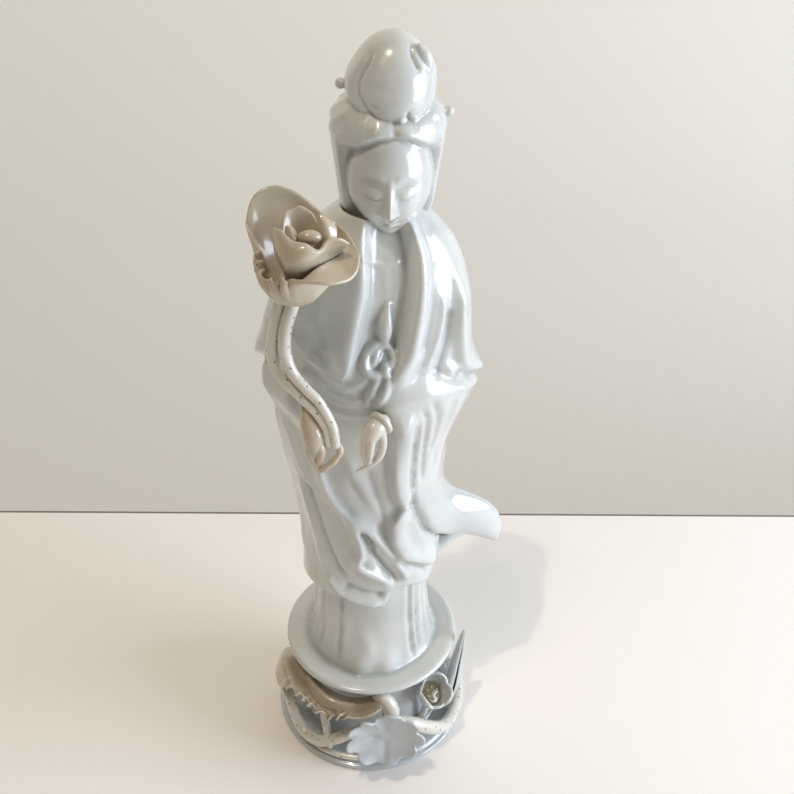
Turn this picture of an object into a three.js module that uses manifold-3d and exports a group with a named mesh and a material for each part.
// A standing Guanyin figure in glazed porcelain, holding a lotus spray, on a plinth of lotus
// leaves, stems and a bloom. Millimetres, +Z up, the figure faces -Y, and the origin is the
// centre of the underside.
import * as THREE from "three";
import { mergeVertices } from "three/addons/utils/BufferGeometryUtils.js";
import Module from "manifold-3d";

const wasm = await Module();
wasm.setup();

// Driving dimensions
const FIGURE_HEIGHT = 342;
const FOOT_PLATE_RADIUS = 50;
const FOOT_PLATE_THICKNESS = 4.5;
const PLINTH_HEIGHT = 57.7;
const GROUND_PLATE_RADIUS = 57;
const GROUND_PLATE_THICKNESS = 4;
const DRUM_RADIUS = 40;
const DRUM_TOP_RADIUS = 43;
const RING_STEM_RADIUS = 3.4;
const RIM_INSET = 3;
const SHORT_STEM_RADIUS = 3.8;
const SCALLOPED_LEAF_RADIUS = 20;
const FRILLED_LEAF_OVERHANG = 3;
const ROLLED_LEAF_LENGTH = 54;
const PLINTH_BLOOM_RADIUS = 8.5;
const SPRAY_STEM_RADIUS = 2.7;
const PETAL_THICKNESS = 1.6;
const LEAF_THICKNESS = 1.8;
const GLAZE_GAP = 0.3;
const CRUMB_VOLUME = 2;

// The figure is laid out 342 parts tall, standing on its foot plate, and the leaves and stems
// around the plinth are laid out against a drum 57.7 parts tall.
const PART = FIGURE_HEIGHT / 342;
const PLINTH_PART = PLINTH_HEIGHT / 57.7;
const STAND = PLINTH_HEIGHT + GLAZE_GAP;
const RING_REACH = GROUND_PLATE_RADIUS - RIM_INSET;
const FRILLED_LEAF_REACH = GROUND_PLATE_RADIUS + FRILLED_LEAF_OVERHANG;

// Mesh fineness
const ROBE_COLUMNS = 36;
const ROBE_ROWS = 29;
const HEAD_COLUMNS = 20;
const HEAD_ROWS = 13;
const UNROLL = 40;

const clamp = THREE.MathUtils.clamp;
const rad = THREE.MathUtils.degToRad;
const step = (from, to, value) => {
  const u = clamp((value - from) / (to - from), 0, 1);
  return u * u * (3 - 2 * u);
};
const bell = (distance, width) => Math.exp(-((distance / width) ** 2));
const vec = (x, y, z) => new THREE.Vector3(x, y, z);

// Smooth curve through [t, value, value, ...] rows, t rising.
function track(rows) {
  const slope = (i, k) => {
    const before = rows[Math.max(i - 1, 0)];
    const after = rows[Math.min(i + 1, rows.length - 1)];
    return (after[k] - before[k]) / (after[0] - before[0]);
  };
  return (t) => {
    let i = 0;
    while (i < rows.length - 2 && t > rows[i + 1][0]) i += 1;
    const [low, high] = [rows[i], rows[i + 1]];
    const span = high[0] - low[0];
    const u = clamp((t - low[0]) / span, 0, 1);
    return low.slice(1).map((start, n) => {
      const end = high[n + 1];
      const leave = slope(i, n + 1) * span;
      const arrive = slope(i + 1, n + 1) * span;
      return start * (1 + 2 * u) * (1 - u) ** 2 + leave * u * (1 - u) ** 2
        + end * u * u * (3 - 2 * u) - arrive * u * u * (1 - u);
    });
  };
}

const middleOf = (ring) => ring.reduce((sum, p) => sum.add(p), vec(0, 0, 0)).divideScalar(ring.length);

// Closed skin over a stack of closed rings of equal count, with a fan to an end point at each end.
function loft(rings, first = middleOf(rings[0]), final = middleOf(rings[rings.length - 1])) {
  const count = rings[0].length;
  const last = rings.length - 1;
  const points = [...rings.flat(), first, final];
  const index = [];
  for (let j = 0; j < last; j += 1) {
    for (let i = 0; i < count; i += 1) {
      const a = j * count + i;
      const b = j * count + (i + 1) % count;
      index.push(a, b, a + count, b, b + count, a + count);
    }
  }
  for (let i = 0; i < count; i += 1) {
    const next = (i + 1) % count;
    index.push(rings.length * count, next, i);
    index.push(rings.length * count + 1, last * count + i, last * count + next);
  }
  const geometry = new THREE.BufferGeometry().setFromPoints(points);
  geometry.setIndex(index);
  return geometry;
}

function volume(geometry) {
  const at = (i) => vec().fromBufferAttribute(geometry.attributes.position, i);
  const index = geometry.index.array;
  let total = 0;
  for (let i = 0; i < index.length; i += 3) {
    total += at(index[i]).dot(at(index[i + 1]).cross(at(index[i + 2])));
  }
  return total / 6;
}

// Closed three.js geometry to a solid with its faces outward.
function solid(geometry) {
  geometry.deleteAttribute("normal");
  geometry.deleteAttribute("uv");
  const merged = mergeVertices(geometry, 1e-4);
  const corners = Array.from(merged.index.array);
  const triangles = [];
  for (let i = 0; i < corners.length; i += 3) {
    const [a, b, c] = corners.slice(i, i + 3);
    if (a !== b && b !== c && c !== a) triangles.push(a, b, c);
  }
  if (volume(merged) < 0) triangles.reverse();
  return new wasm.Manifold(new wasm.Mesh({
    numProp: 3,
    vertProperties: new Float32Array(merged.attributes.position.array),
    triVerts: new Uint32Array(triangles),
  }));
}

const join = (...geometries) => geometries.map(solid).reduce((whole, piece) => whole.add(piece));

// The piece cut back until it clears its neighbour by the gap on every side.
function clearOf(piece, neighbour, gap) {
  if (piece.minGap(neighbour, 2 * gap) >= gap) return piece;
  const shifts = [[0, 0, 0], [gap, 0, 0], [-gap, 0, 0], [0, gap, 0], [0, -gap, 0], [0, 0, gap], [0, 0, -gap]];
  return shifts.reduce((rest, shift) => rest.subtract(neighbour.translate(shift)), piece);
}

// Fusing and cutting leave crumbs and sealed pinholes, which the glaze would close.
function withoutCrumbs(body) {
  return body.decompose().filter((piece) => piece.volume() > CRUMB_VOLUME)
    .reduce((whole, piece) => whole.add(piece));
}

function toMesh(name, body, material) {
  const { vertProperties, triVerts } = body.getMesh();
  const geometry = new THREE.BufferGeometry();
  geometry.setAttribute("position", new THREE.BufferAttribute(vertProperties, 3));
  geometry.setIndex(new THREE.BufferAttribute(triVerts, 1));
  geometry.computeVertexNormals();
  const mesh = new THREE.Mesh(geometry, material);
  mesh.name = name;
  return mesh;
}

function ball(centre, radius, sides = 6) {
  return new THREE.SphereGeometry(radius, sides, Math.ceil(sides * 0.7)).translate(...centre.toArray());
}

// Round limb along a curve; radii are shared out evenly along it.
function limb(points, radii, sides = 8, steps = points.length * 3) {
  const curve = new THREE.CatmullRomCurve3(points, false, "centripetal");
  const frames = curve.computeFrenetFrames(steps, false);
  const radius = track(radii.map((r, i) => [i / (radii.length - 1), r]));
  const rings = [];
  for (let j = 0; j <= steps; j += 1) {
    const middle = curve.getPointAt(j / steps);
    const size = radius(j / steps)[0];
    const ring = [];
    for (let i = 0; i < sides; i += 1) {
      const turn = (i / sides) * Math.PI * 2;
      ring.push(middle.clone()
        .addScaledVector(frames.normals[j], size * Math.cos(turn))
        .addScaledVector(frames.binormals[j], size * Math.sin(turn)));
    }
    rings.push(ring);
  }
  return loft(rings);
}

// Round sheet of even thickness: surface(turn, share) runs from the middle out to the rim.
function roundSheet(surface, thickness, columns, rows) {
  const top = [];
  for (let j = 1; j <= rows; j += 1) {
    const ring = [];
    for (let i = 0; i < columns; i += 1) ring.push(surface((i / columns) * Math.PI * 2, j / rows));
    top.push(ring);
  }
  const under = top.map((ring, j) => ring.map((p, i) => {
    const along = ring[(i + 1) % columns].clone().sub(ring[(i + columns - 1) % columns]);
    const inner = j > 0 ? top[j - 1][i] : surface(0, 0);
    const outer = j < rows - 1 ? top[j + 1][i] : p;
    const normal = outer.clone().sub(inner).cross(along).normalize();
    return p.clone().addScaledVector(normal, -thickness);
  }));
  return loft([...top, ...under.reverse()]);
}

// Pointed or rounded petal: surface(across, along) with across from -1 to 1, along from 0 to 1.
function petalSheet(surface, thickness, columns, rows) {
  const rings = [];
  for (let j = 0; j <= rows; j += 1) {
    const along = j / rows;
    const front = [];
    const back = [];
    for (let i = 0; i <= columns; i += 1) {
      const across = (i / columns) * 2 - 1;
      const p = surface(across, along);
      const du = surface(Math.min(across + 0.05, 1), along).sub(surface(Math.max(across - 0.05, -1), along));
      const dv = surface(across, Math.min(along + 0.02, 1)).sub(surface(across, Math.max(along - 0.02, 0)));
      const normal = du.cross(dv).normalize();
      const half = (thickness / 2) * Math.sqrt(1.02 - across * across) * (along > 0.99 ? 0.4 : 1);
      front.push(p.clone().addScaledVector(normal, half));
      back.unshift(p.clone().addScaledVector(normal, -half));
    }
    rings.push([...front, ...back]);
  }
  return loft(rings);
}

// One fold of cloth on the unrolled robe: [s, z] points in parts, s across from the front
// middle and z above the foot plate. Before is the width left of a falling line, after right.
function fold(points, height, before, after) {
  const curve = new THREE.CatmullRomCurve3(points.map(([s, z]) => vec(s, z, 0)));
  const line = curve.getPoints(points.length * 4);
  return (s, z) => {
    let nearest = Infinity;
    let side = 1;
    let along = 0;
    for (let i = 0; i < line.length - 1; i += 1) {
      const ds = line[i + 1].x - line[i].x;
      const dz = line[i + 1].y - line[i].y;
      const u = clamp(((s - line[i].x) * ds + (z - line[i].y) * dz) / (ds * ds + dz * dz), 0, 1);
      const gapS = s - line[i].x - u * ds;
      const gapZ = z - line[i].y - u * dz;
      const distance = Math.hypot(gapS, gapZ);
      if (distance < nearest) {
        nearest = distance;
        side = ds * gapZ - dz * gapS;
        along = (i + u) / (line.length - 1);
      }
    }
    const taper = step(0, 0.16, along) * step(0, 0.16, 1 - along);
    return height * taper * bell(nearest, side < 0 ? before : after);
  };
}

// Extents of the robed body: height, left, right, front, back
const robeExtents = track([
  [40, 34, 31, 31, 29],
  [54, 38, 35, 33, 31],
  [70, 38, 36.5, 33.5, 32],
  [92, 37.5, 36.5, 33, 32],
  [117, 40, 36.5, 33, 32],
  [142, 44, 37.5, 34, 33],
  [167, 47.5, 42, 35, 34],
  [185, 49, 46, 36, 34],
  [204, 49.5, 48.5, 35, 34],
  [225, 47, 47, 31.5, 32],
  [240, 43, 43.5, 29, 30],
  [250, 35, 37, 26, 27],
  [257, 26, 29, 21.5, 23],
  [263, 16, 20, 16, 19],
]);

// Height of the robe's hem around the figure, on the unrolled robe
const hemHeight = track([
  [-126, 54], [-80, 56], [-40, 58.5], [-27, 58], [-16, 56.5], [-8, 54.5], [2, 52.5], [6, 54],
  [10, 65], [20, 64.5], [32, 60], [50, 56], [80, 55], [126, 54],
]);

const ROBE_TOP = 263;

const chestFolds = [
  fold([[-5, 262], [-4.5, 250], [-5.5, 238], [-8.3, 220], [-14.5, 197]], 2.6, 8, 2.2),
  fold([[7, 264], [6.5, 244], [5, 222], [0, 202]], -3, 8, 8),
  fold([[22.5, 262], [22, 247], [20.5, 232], [19.5, 222], [16.5, 207], [8, 195]], 3.2, 2.6, 6),
  fold([[33, 240], [37, 226], [35.5, 213], [26, 202]], 1.2, 2.4, 2.6),
  fold([[28, 226], [26, 212], [20, 199]], 1.1, 2.4, 2.6),
];
const bellyFolds = [
  fold([[-30, 208], [-24, 199], [-15, 194], [-6, 196], [1, 204]], 1.5, 2.8, 2.8),
  fold([[-26, 217], [-20, 208], [-12, 205], [-7, 208]], 1.3, 2.6, 2.6),
  fold([[-26, 192], [-19, 187], [-9, 185], [1, 188]], 1.2, 2.8, 2.8),
];
const armFolds = [
  fold([[62, 187], [44, 190], [26, 191], [4, 188]], 6, 9, 8),
  fold([[-62, 192], [-46, 187], [-34, 181], [-22, 174]], 4.5, 9, 8),
  fold([[34, 190], [46, 186], [60, 181]], 1.5, 3, 3),
];
const mantleFolds = [
  fold([[44, 232], [45, 208], [49, 195], [60, 185], [73, 183], [94, 186]], 5, 3, 13),
  fold([[-42, 230], [-46, 213], [-54, 203], [-64, 198], [-76, 197], [-96, 200]], 6, 13, 2.2),
];
const sleeveFolds = [
  fold([[7, 186], [6, 162], [6.5, 141], [8, 128], [9, 117], [6.5, 109], [8, 97], [13, 86], [22, 77], [34, 64]],
    5, 2.2, 13),
  fold([[18.5, 184], [19, 158], [20, 136], [22, 120], [27, 104], [37, 84]], -2.6, 2.2, 2.2),
  fold([[24, 186], [26, 154], [28, 128]], -1.6, 2, 2),
  fold([[14, 110], [16, 98], [22, 87]], -1.8, 4, 4),
  fold([[-52, 196], [-46, 172], [-39, 150], [-33, 128]], 1.8, 3, 4),
];
const skirtFolds = [
  fold([[-28, 152], [-25.5, 136], [-16, 118], [-9.5, 106], [-7.5, 91], [-9.5, 82], [-1, 75], [9, 62]], 3.2, 4, 2.2),
  fold([[-16, 126], [-8, 109], [0, 98], [10, 83], [22, 64]], 2.8, 2.6, 3),
  fold([[-10, 108], [-4.5, 95], [3, 84], [12, 66]], -3, 2.4, 2.4),
  fold([[-34, 122], [-29, 97], [-24, 80], [-17, 62]], -2.2, 2.4, 2.4),
  fold([[-38, 134], [-34, 107], [-30, 84], [-23, 64]], 1.6, 3, 3),
  fold([[-44, 170], [-39, 150], [-34, 137], [-26, 120]], 1.2, 2.2, 2.2),
  fold([[-30, 74], [-22, 65], [-13, 59.5], [-2, 57]], 1.8, 2.6, 3),
  fold([[-14, 156], [-10, 129], [-3, 102]], 1.1, 3.4, 3.4),
  fold([[-6, 150], [-2, 123], [5, 99]], 1.1, 3.4, 3.4),
];
// Plainer hanging folds over the back and the sides
const backFolds = [];
for (const place of [-122, -104, -86, 70, 90, 108, 124]) {
  backFolds.push(fold([[place, 180], [place * 0.97, 130], [place * 0.98, 62]], 1.7, 4.5, 5.5));
}
backFolds.push(fold([[94, 186], [112, 189], [126, 190]], 3, 3, 12));
backFolds.push(fold([[-126, 190], [-112, 194], [-96, 200]], 3, 3, 12));
const robeFolds = [
  ...chestFolds, ...bellyFolds, ...armFolds, ...mantleFolds, ...sleeveFolds, ...skirtFolds, ...backFolds,
];

// A point on the robe in parts, from the angle around it and the share of its height
function robePoint(angle, share, grow = 0) {
  const s = angle * UNROLL;
  const hem = hemHeight(s)[0];
  const z = hem + (ROBE_TOP - hem) * share;
  const [left, right, front, back] = robeExtents(z);
  const reachX = Math.sin(angle) < 0 ? left : right;
  const reachY = Math.cos(angle) > 0 ? front : back;
  const relief = robeFolds.reduce((sum, shape) => sum + shape(s, z), 0);
  const outward = vec(Math.sin(angle) / reachX, -Math.cos(angle) / reachY, 0).normalize();
  const base = vec(reachX * Math.sin(angle), -reachY * Math.cos(angle), z);
  return base.addScaledVector(outward, relief * step(ROBE_TOP, ROBE_TOP - 12, z) + grow);
}

// Columns crowd toward the front, where the folds are finest.
function columnAngle(i, count, spread = 0.62) {
  const even = (i / count) * 2 - 1;
  return Math.PI * (spread * even + (1 - spread) * even ** 3);
}

const standing = (geometry) => geometry.scale(PART, PART, PART).translate(0, 0, STAND);

function robe(grow = 0) {
  const rings = [];
  for (let j = 0; j <= ROBE_ROWS; j += 1) {
    const share = 1 - (1 - j / ROBE_ROWS) ** 1.12;
    const ring = [];
    for (let i = 0; i < ROBE_COLUMNS; i += 1) ring.push(robePoint(columnAngle(i, ROBE_COLUMNS), share, grow));
    rings.push(ring);
  }
  return loft(rings);
}

// Pleated underskirt, flaring a little where it meets the foot plate
const skirtRadius = track([[2, 40], [5, 37], [9, 35.5], [16, 34], [27, 32.5], [42, 31], [64, 30.5]]);
const PLEATS = [-150, -112, -84, -58, -36, 37, 58, 84, 112, 150];

function underskirt() {
  const rings = [];
  for (const z of [2, 6, 11, 20, 38, 64]) {
    const ring = [];
    for (let i = 0; i < 36; i += 1) {
      const angle = columnAngle(i, 36);
      const degrees = THREE.MathUtils.radToDeg(angle);
      const radius = skirtRadius(z)[0];
      const pleat = PLEATS.reduce((sum, place) => sum - 2.4 * bell(degrees - place, 5), 0);
      const shoes = 5 * bell(degrees + 14, 10) * bell(z - 9, 8) + 4 * bell(degrees - 9, 9) * bell(z - 10, 8);
      const reach = radius + pleat * step(4, 12, z) + shoes;
      ring.push(vec(reach * Math.sin(angle), -reach * 0.98 * Math.cos(angle), z));
    }
    rings.push(ring);
  }
  return loft(rings);
}

// Round foot plate under the skirt, with a soft rim and a gently dished top
function footPlate() {
  const r = FOOT_PLATE_RADIUS;
  const t = FOOT_PLATE_THICKNESS;
  const profile = [
    [0, 0], [r - 4, 0], [r - 0.5, t * 0.3], [r, t * 0.6], [r - 1.2, t], [r - 6, t * 0.92], [0, t],
  ];
  return new THREE.LatheGeometry(profile.map(([x, y]) => new THREE.Vector2(x, y)), 30)
    .rotateX(Math.PI / 2).translate(0, 0, STAND);
}

// Flying end of the left sleeve, a thick flattened sweep to the figure's left
function sleeveTail() {
  const path = track([
    [0, 14, -2, 108, 18, 9], [0.25, 34, -3, 99.5, 19, 9], [0.5, 48, -1, 86.5, 17, 7],
    [0.72, 59.5, 2, 80.5, 16, 5], [0.9, 67, 4, 76.5, 13, 4], [1, 70, 4.5, 73, 8.5, 2.6],
  ]);
  const rings = [];
  for (let j = 0; j <= 7; j += 1) {
    const [x, y, z, high, deep] = path(j / 7);
    const ring = [];
    for (let i = 0; i < 10; i += 1) {
      const turn = (i / 10) * Math.PI * 2;
      ring.push(vec(x + 0.25 * high * Math.cos(turn), y + deep * Math.sin(turn), z + high * Math.cos(turn)));
    }
    rings.push(ring);
  }
  return loft(rings);
}

// Head
const HEAD_MIDDLE = vec(7.5, -7, 284);
const HEAD_TURN = rad(-4);
const HEAD_NOD = rad(12);
const HEAD_SIZE = vec(18.5, 19.5, 26.5);

// Radius share of the head along a direction: side, up and forward are unit head axes.
function headRadius(side, up, forward) {
  const face = step(0.1, 0.5, forward);
  const jaw = 1 - 0.16 * step(-0.15, -0.9, up);
  const brow = 0.03 * bell(up - 0.16, 0.08) * bell(Math.abs(side) - 0.26, 0.22);
  const socket = -0.075 * bell(up - 0.04, 0.1) * bell(Math.abs(side) - 0.33, 0.15);
  const lid = 0.045 * bell(up - 0.01, 0.07) * bell(Math.abs(side) - 0.34, 0.11);
  const nose = (0.05 + 0.13 * step(0.12, -0.3, up)) * bell(side, 0.085)
    * step(0.26, 0.06, up) * step(-0.44, -0.34, up);
  const wings = 0.05 * bell(up + 0.33, 0.06) * bell(Math.abs(side) - 0.11, 0.06);
  const lips = 0.05 * bell(up + 0.53, 0.07) * bell(side, 0.17);
  const chin = 0.05 * bell(up + 0.82, 0.12) * bell(side, 0.2);
  const cheek = 0.03 * bell(up + 0.25, 0.25) * bell(Math.abs(side) - 0.5, 0.2);
  return jaw + face * (brow + socket + lid + nose + wings + lips + chin + cheek);
}

function headPoint(side, up, forward, size, middle) {
  const p = vec(side * size.x, -forward * size.y, up * size.z);
  p.applyAxisAngle(vec(1, 0, 0), HEAD_NOD).applyAxisAngle(vec(0, 0, 1), HEAD_TURN);
  return p.add(middle);
}

// Sphere-like skin: shape(side, up, forward) gives the point in each direction.
function around(columns, rows, spread, shape) {
  const rings = [];
  for (let j = 1; j < rows; j += 1) {
    const lift = Math.PI * (j / rows - 0.5);
    const ring = [];
    for (let i = 0; i < columns; i += 1) {
      const angle = columnAngle(i, columns, spread);
      ring.push(shape(Math.sin(angle) * Math.cos(lift), Math.sin(lift), Math.cos(angle) * Math.cos(lift)));
    }
    rings.push(ring);
  }
  return loft(rings, shape(0, -1, 0), shape(0, 1, 0));
}

function head() {
  return around(HEAD_COLUMNS, HEAD_ROWS, 0.4, (side, up, forward) => {
    const radius = headRadius(side, up, forward);
    return headPoint(side * radius, up * radius, forward * radius, HEAD_SIZE, HEAD_MIDDLE);
  });
}

// Dressed hair: a cap parted in the middle, drawn down over the ears to the collar.
// Rows are height, half width, front, back.
const hairExtents = track([
  [258, 13, 5, 15], [263, 18, 9, 20], [270, 20.2, 13, 22], [282, 21.8, 17, 24], [294, 23.3, 21, 25],
  [305, 24.3, 23.5, 25.5], [311, 23, 23, 24], [316, 18, 19, 19], [320, 11, 12, 12],
]);

function hair() {
  const rings = [];
  for (const z of [258, 263, 271, 284, 296, 301, 307, 312, 316, 320]) {
    const [half, front, back] = hairExtents(z);
    const ring = [];
    for (let i = 0; i < 20; i += 1) {
      const angle = columnAngle(i, 20);
      const across = Math.abs(THREE.MathUtils.radToDeg(angle));
      const hairline = 303 - 5 * step(8, 50, across);
      const opening = step(60, 50, across) * step(hairline + 2, hairline - 2, z);
      const waves = 0.5 * Math.cos(across * 0.5) * step(300, 310, z) - 1.2 * bell(across, 6) * step(300, 306, z);
      const forward = Math.cos(angle) > 0 ? front : back;
      const keep = 1 - 0.34 * opening + waves / 24;
      ring.push(vec(6.3 + half * Math.sin(angle) * keep, -forward * Math.cos(angle) * keep, z));
    }
    rings.push(ring);
  }
  return loft(rings);
}

// Hair wound into a dome, with a groove beside each side roll; the left roll is the fuller one.
function bun() {
  return around(15, 8, 0.8, (side, up, forward) => {
    const groove = 0.07 * bell(Math.abs(side) - 0.66, 0.09) * step(-0.9, 0.1, forward) * step(0.95, 0.5, up);
    const half = side < 0 ? 20.5 - 3 * step(-0.2, 0.8, up) : 17;
    const radius = 1 - groove;
    return vec(8.5 + half * side * radius, -1 - 18 * forward * radius, 323.5 + 18.5 * up * radius);
  });
}

function headdress() {
  return [
    ball(vec(19, -9, 333), 4.2, 8),
    limb([vec(2, 3, 318), vec(-12.5, 4, 320)], [1.3, 1.3], 5, 1), ball(vec(-12.8, 4, 320), 2.3),
    limb([vec(20, 3, 305), vec(31.5, 4, 308)], [1.3, 1.3], 5, 1), ball(vec(32.3, 4, 308), 2.3),
  ];
}

const neck = () => limb([vec(5, -1, 240), vec(5.5, -3, 275)], [14, 12.5], 12, 3);

// A point standing out from the robe's surface, from its place on the unrolled robe
function onRobe(s, z, out) {
  const hem = hemHeight(s)[0];
  const p = robePoint(s / UNROLL, (z - hem) / (ROBE_TOP - hem));
  return p.add(vec(0, -out, 0));
}

// Necklace drop, girdle bow and its two ribbons on the chest
function ornaments() {
  const strand = (points, radii, steps) => limb(points.map(([s, z]) => onRobe(s, z, 0.3)), radii, 6, steps);
  return [
    strand([[4.5, 236], [5, 227], [4.8, 217]], [0.8, 2.8, 1.2], 4),
    strand([[2, 205], [-3, 207], [-3, 213], [2, 211]], [1.4, 2, 2, 1.4], 4),
    strand([[3, 205], [7.5, 206], [7.5, 212], [3, 211]], [1.4, 2, 2, 1.4], 4),
    strand([[2, 206], [0, 197], [-3.5, 188]], [1.7, 1.9, 1.5], 3),
    strand([[4, 206], [4.5, 198], [2, 190]], [1.7, 1.9, 1.5], 3),
  ];
}

const figure = join(
  ...[robe(), underskirt(), sleeveTail(), head(), hair(), bun(), neck(), ...headdress(), ...ornaments()]
    .map(standing),
  footPlate(),
);

// Hands, cut to lie against the sleeves and around the lotus stems
const sleeveCut = solid(standing(robe(GLAZE_GAP / PART)));

function rightHand() {
  return join(...[
    limb([vec(-34, -41, 189), vec(-30, -46.5, 182), vec(-28.5, -47.5, 175), vec(-28.5, -48, 168)], [3.6, 4.6, 5, 3], 8, 4),
    limb([vec(-28, -48, 170), vec(-27.5, -50, 165), vec(-28.5, -50, 161)], [2.6, 2.4, 1.6], 6, 3),
    limb([vec(-19, -48, 175), vec(-17.5, -50, 172), vec(-21, -51.5, 167), vec(-27, -51, 161)], [2, 2.2, 2.2, 1.6], 6, 5),
  ].map(standing)).subtract(sleeveCut).subtract(sprayStems(SPRAY_STEM_RADIUS + GLAZE_GAP));
}

function leftHand() {
  const wrist = new THREE.TorusGeometry(3.9, 1.2, 5, 8).rotateY(rad(60)).rotateX(rad(-20))
    .translate(3, -45.5, 183.5);
  return join(...[
    wrist,
    limb([vec(8, -40.5, 187), vec(1, -45.5, 182), vec(-2.8, -47, 178), vec(-4.5, -47, 173)], [3.2, 3.8, 4, 3], 8, 4),
    limb([vec(-6, -47, 176), vec(-8, -48, 170), vec(-6.5, -48, 164)], [1.9, 1.9, 1.5], 6, 3),
    limb([vec(-3, -48.5, 176), vec(-5, -50, 169), vec(-4.2, -49.5, 163)], [2, 1.9, 1.6], 6, 3),
    limb([vec(0.5, -47, 178), vec(1.4, -47.5, 170), vec(-1, -48.5, 163.5), vec(-5, -49, 160.5), vec(-9.5, -49, 159)],
      [2.5, 2, 1.8, 1.6, 1.1], 6, 6),
  ].map(standing)).subtract(sleeveCut);
}

// Lotus spray: a cupped leaf with a gathered left rim and a turned-out lip, a bloom and two stems
const LEAF_FOOT = vec(-32, -40, 250);
const BLOOM_FOOT = vec(-29.5, -39, 254);

// Leaf rim: turn in degrees from the figure's left, then x, y, z
const leafRim = track([
  [-30, -15, -57, 262], [0, -9, -52, 266], [12, -9.5, -45, 269], [26, -15, -36, 272], [45, -25, -22, 279], [75, -35, -18, 284],
  [105, -45, -18, 284.5], [130, -51, -22, 279], [155, -50, -31, 270], [180, -48, -37, 265], [210, -46, -45, 260],
  [245, -39, -54, 256], [280, -29, -59, 257.5], [310, -20, -59, 259], [330, -15, -57, 262], [360, -9, -52, 267],
]);

function sprayLeafPoint(turn, share) {
  const degrees = THREE.MathUtils.radToDeg(turn);
  const [x, y, z] = leafRim(degrees);
  const frill = step(140, 165, degrees) * step(262, 245, degrees) * Math.sin(turn * 20) * share ** 4;
  const rim = vec(x, y, z).sub(LEAF_FOOT);
  const rise = step(-0.12, 0.88, share);
  return vec(rim.x * share * (1 + 0.05 * frill), rim.y * share * (1 + 0.05 * frill), rim.z * rise + 1.5 * frill)
    .add(LEAF_FOOT);
}

// Spoon-shaped petal standing at a turn around a bloom's axis
function bloomPetal({ turn, foot, length, width, open, spread, columns = 2 }) {
  const surface = (across, along) => {
    const outline = width * Math.sin(Math.PI * (0.14 + 0.74 * along)) ** 0.6;
    const out = spread + length * 0.42 * Math.sin(along * Math.PI * 0.55) + open * along * along;
    const wrap = across * Math.min(1.5, outline / Math.max(out, 1));
    return vec(out * Math.cos(turn + wrap), out * Math.sin(turn + wrap), length * along).add(foot);
  };
  return petalSheet(surface, PETAL_THICKNESS, columns, 3);
}

const stemRoutes = [
  [[-33, -40, 254], [-36, -38, 232], [-39, -37, 216], [-35, -39, 204], [-28, -43, 193], [-21, -49, 178]],
  [[-37, -39, 255], [-43, -35, 232], [-45, -33, 212], [-40, -36, 198], [-31, -42, 186], [-24, -48, 176]],
];

function sprayStems(radius) {
  const r = radius / PART;
  return join(...stemRoutes.map((route) => standing(limb(route.map((p) => vec(...p)), [r, r], 6, 10))));
}

function lotusSpray() {
  const petals = [
    { turn: rad(262), length: 22, width: 22, open: 1.5, spread: 4, columns: 5 },
    { turn: rad(88), length: 27, width: 12, open: -2, spread: 1, columns: 4 },
    { turn: rad(2), length: 25, width: 6.5, open: 1, spread: 2 },
    { turn: rad(160), length: 20, width: 5, open: -3, spread: 1 },
  ].map((petal) => bloomPetal({ ...petal, foot: BLOOM_FOOT }));
  const bud = new THREE.SphereGeometry(4.6, 6, 4).scale(1, 0.8, 2.2).translate(2, -1, 10)
    .translate(...BLOOM_FOOT.toArray());
  return join(...[
    roundSheet(sprayLeafPoint, LEAF_THICKNESS / PART, 22, 3), ...petals, bud,
  ].map(standing)).add(sprayStems(SPRAY_STEM_RADIUS));
}

// Plinth
// A point beside the drum: turn from the front, reach from the axis, and height in plinth parts
const onPlinth = (degrees, reach, height) => (
  vec(reach * Math.sin(rad(degrees)), -reach * Math.cos(rad(degrees)), height * PLINTH_PART)
);

function drum() {
  const g = GROUND_PLATE_RADIUS;
  const t = GROUND_PLATE_THICKNESS;
  const h = PLINTH_HEIGHT;
  const profile = [
    [0, 0], [g - 1, 0], [g, t * 0.6], [g - 1.5, t], [g - 4, t * 1.4], [DRUM_RADIUS + 3, t * 1.9],
    [DRUM_RADIUS, t * 3], [DRUM_RADIUS, h - 10], [DRUM_TOP_RADIUS, h - 3], [DRUM_TOP_RADIUS, h], [0, h],
  ];
  return solid(new THREE.LatheGeometry(profile.map(([x, y]) => new THREE.Vector2(x, y)), 30).rotateX(Math.PI / 2));
}

function leftRingStem() {
  const r = RING_STEM_RADIUS;
  return join(limb([
    onPlinth(-104, DRUM_RADIUS + r, 22), onPlinth(-82, RING_REACH, 27), onPlinth(-64, RING_REACH + 1, 23),
    onPlinth(-48, RING_REACH, 12), onPlinth(-30, RING_REACH, 11.5), onPlinth(-15, RING_REACH - r / 2, 19),
    onPlinth(-5, RING_REACH - r, 25),
  ], [r * 0.8, r, r, r, r], 8, 12));
}

function rightRingStem() {
  const r = RING_STEM_RADIUS;
  return join(limb([
    onPlinth(120, DRUM_RADIUS + r, 16), onPlinth(95, RING_REACH, 14), onPlinth(68, RING_REACH + 1, 12),
    onPlinth(46, RING_REACH + 2, 14), onPlinth(30, RING_REACH + 2, 23), onPlinth(18, RING_REACH - r, 31),
  ], [r * 0.8, r, r, r, r * 0.9], 8, 11));
}

function shortStem() {
  const r = SHORT_STEM_RADIUS;
  return join(limb([
    onPlinth(4, DRUM_TOP_RADIUS + 1.2 * r, 50), onPlinth(9, DRUM_RADIUS + 2.1 * r, 44),
    onPlinth(10, DRUM_RADIUS + 2.3 * r, 35), onPlinth(8, DRUM_RADIUS + 1.3 * r, 25),
  ], [r * 0.8, r, r, r * 0.8], 8, 6));
}

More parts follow.
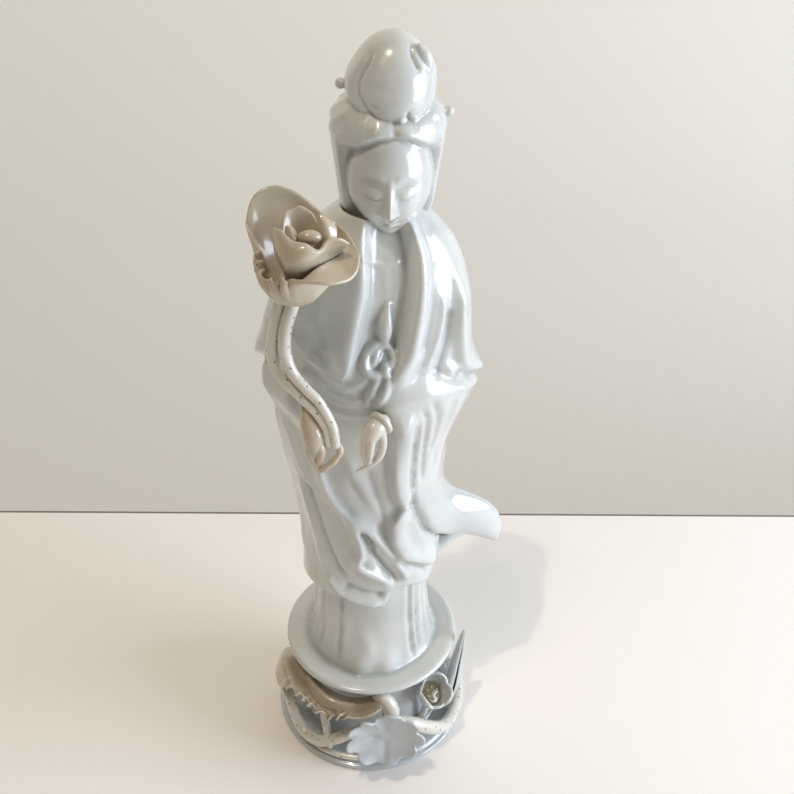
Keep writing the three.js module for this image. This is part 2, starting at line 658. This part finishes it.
function scallopedLeaf() {
  const middle = onPlinth(3, GROUND_PLATE_RADIUS + 3.5, 35);
  const lean = rad(74);
  const surface = (turn, share) => {
    const lobes = 1 + 0.07 * Math.cos(turn * 9) * share;
    const radius = SCALLOPED_LEAF_RADIUS * share * lobes;
    const dish = 3.5 * share * share + 0.7 * Math.cos(turn * 9) * share ** 3;
    return vec(radius * Math.cos(turn), 0.9 * radius * Math.sin(turn), dish)
      .applyAxisAngle(vec(1, 0, 0), lean).add(middle);
  };
  return solid(roundSheet(surface, LEAF_THICKNESS, 36, 2));
}

// Large curled leaf on the left front, its gathered rim just outside the foot plate
const frilledRim = track([[-1, 45], [-0.7, 49], [-0.3, 53], [0.1, 51], [0.4, 53], [0.8, 53], [1, 54]]);

function frilledLeaf() {
  const inner = DRUM_RADIUS + LEAF_THICKNESS;
  const surface = (outward, turn) => {
    const along = (outward + 1) / 2;
    const across = 2 * turn - 1;
    const gather = Math.sin(across * 13) * step(0.55, 1, along) * step(0.8, 0.3, Math.abs(across + 0.05));
    const round = Math.sqrt(1 - across ** 6 * 0.9);
    const reach = inner + (FRILLED_LEAF_REACH - inner) * Math.sin(along * 1.5) * round + 1.8 * gather;
    const height = 31 + (frilledRim(across)[0] - 31) * along ** 1.3 + 2 * gather;
    return onPlinth(40 * across - 43, reach, height);
  };
  return solid(petalSheet(surface, LEAF_THICKNESS, 3, 24));
}

function plinthBloom() {
  const foot = onPlinth(42, RING_REACH - 1, 35);
  const size = PLINTH_BLOOM_RADIUS;
  const petals = [45, 135, 225, 315].map((turn, i) => bloomPetal({
    turn: rad(turn), foot, length: size * (i % 2 ? 1.7 : 1.9), width: size * 0.95, open: size * 0.3,
    spread: size * 0.25,
  }));
  const base = ball(foot.clone().add(vec(0, 0, 1)), size * 0.42, 5);
  const stalkRadius = RING_STEM_RADIUS * 0.75;
  const stalk = limb([onPlinth(40, DRUM_RADIUS + stalkRadius, 13), foot], [stalkRadius, stalkRadius], 6, 1);
  return join(base, stalk, ...petals);
}

function rolledLeaf() {
  const length = ROLLED_LEAF_LENGTH;
  const path = track([[0, 3], [0.3, 6.5], [0.6, 5], [0.85, 2.4], [1, 0.6]]);
  const rings = [];
  for (let j = 0; j <= 6; j += 1) {
    const along = j / 6;
    const middle = onPlinth(78 + along, RING_REACH - 7.5 + 8 * along, 14).add(vec(0, 0, length * along));
    const ring = [];
    for (let i = 0; i < 8; i += 1) {
      const turn = (i / 8) * Math.PI * 2;
      const size = path(along)[0];
      ring.push(middle.clone().add(vec(size * 0.55 * Math.cos(turn), size * Math.sin(turn), 0)));
    }
    rings.push(ring);
  }
  return solid(loft(rings));
}

// Finishes: cool white glaze on the figure, warmer ivory on the hand-modelled pieces
const whiteGlaze = () => new THREE.MeshStandardMaterial({ color: 0xe4e8e6, roughness: 0.16, metalness: 0 });
const ivoryGlaze = () => new THREE.MeshStandardMaterial({ color: 0xddd3c2, roughness: 0.2, metalness: 0 });

// Each piece is cut back from the ones placed before it, so that all keep the glaze gap.
const guanyin = new THREE.Group();
const placed = [];
function place(name, body, material) {
  const clear = withoutCrumbs(placed.reduce((rest, other) => clearOf(rest, other, GLAZE_GAP), body));
  placed.push(clear);
  guanyin.add(toMesh(name, clear, material));
}

place("figure", figure, whiteGlaze());
place("left_hand", leftHand(), ivoryGlaze());
place("lotus_spray", lotusSpray(), ivoryGlaze());
place("right_hand", rightHand(), ivoryGlaze());
place("plinth", drum(), whiteGlaze());
place("plinth_scalloped_leaf", scallopedLeaf(), ivoryGlaze());
place("plinth_left_stem", leftRingStem(), ivoryGlaze());
place("plinth_right_stem", rightRingStem(), ivoryGlaze());
place("plinth_short_stem", shortStem(), ivoryGlaze());
place("plinth_bloom", plinthBloom(), ivoryGlaze());
place("plinth_frilled_leaf", frilledLeaf(), ivoryGlaze());
place("plinth_rolled_leaf", rolledLeaf(), ivoryGlaze());

export default guanyin;
